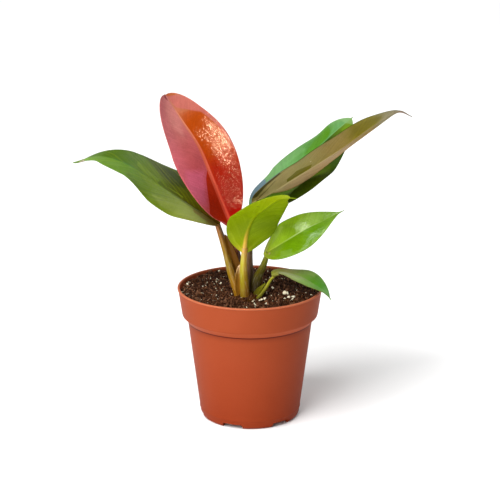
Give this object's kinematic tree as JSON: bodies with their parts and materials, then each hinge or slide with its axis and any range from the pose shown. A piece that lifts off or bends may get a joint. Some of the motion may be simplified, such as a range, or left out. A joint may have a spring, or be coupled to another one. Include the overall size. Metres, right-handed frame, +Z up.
{
  "type": "potted red sun philodendron",
  "caption": "Young foliage plant with red, bronze and green lance-shaped leaves rising from one crown in a round tapered terracotta-coloured plastic nursery pot filled with peat.",
  "frame": {"origin": "on the ground, under the middle of the bounding box of the whole plant in its pot; the pot's own axis stands 5 mm to +X and 9 mm to -Y of it", "axes": "+Z up along the pot's axis; -Y is the front, towards the picture's camera; +X to the right of that view, where the bronze and green leaves lean"},
  "size_m": [0.2421, 0.1229, 0.2358],
  "materials": {
    "pot": "matt terracotta-coloured moulded polypropylene",
    "soil": "moist dark brown fibrous peat with white perlite",
    "crown": "satin ochre-brown short stem wrapped in old leaf bases",
    "petiole_red": "satin, smooth leaf stalk with a grooved inner side",
    "blade_red": "glossy, rich red upper side with a salmon midrib",
    "petiole_left": "satin, smooth leaf stalk with a grooved inner side",
    "blade_left": "satin olive green, darker towards the stem",
    "petiole_green": "satin, smooth leaf stalk with a grooved inner side",
    "blade_green": "satin mint green upper side",
    "petiole_bronze": "satin, smooth leaf stalk with a grooved inner side",
    "blade_bronze": "satin taupe-bronze underside, mauve tip",
    "petiole_lime": "satin, smooth leaf stalk with a grooved inner side",
    "blade_lime": "satin yellow-lime underside with an orange rib",
    "petiole_right": "satin, smooth leaf stalk with a grooved inner side",
    "blade_right": "glossy bright green upper side",
    "petiole_low": "satin, smooth leaf stalk with a grooved inner side",
    "blade_low": "dull mid green",
    "sheath_left": "satin brown-olive wing of a leaf stalk",
    "sheath_low": "satin yellow-green wing of a leaf stalk",
    "sheath": "dry papery pinkish beige"
  },
  "bodies": {
    "root": {"pot": "pot", "soil": "soil", "crown": "crown", "petiole_red": "petiole_red", "blade_red": "blade_red", "petiole_left": "petiole_left", "blade_left": "blade_left", "petiole_green": "petiole_green", "blade_green": "blade_green", "petiole_bronze": "petiole_bronze", "blade_bronze": "blade_bronze", "petiole_lime": "petiole_lime", "blade_lime": "blade_lime", "petiole_right": "petiole_right", "blade_right": "blade_right", "petiole_low": "petiole_low", "blade_low": "blade_low", "sheath_front": "sheath", "sheath_back": "sheath", "sheath_left": "sheath_left", "sheath_low": "sheath_low"}
  },
  "joints": []
}
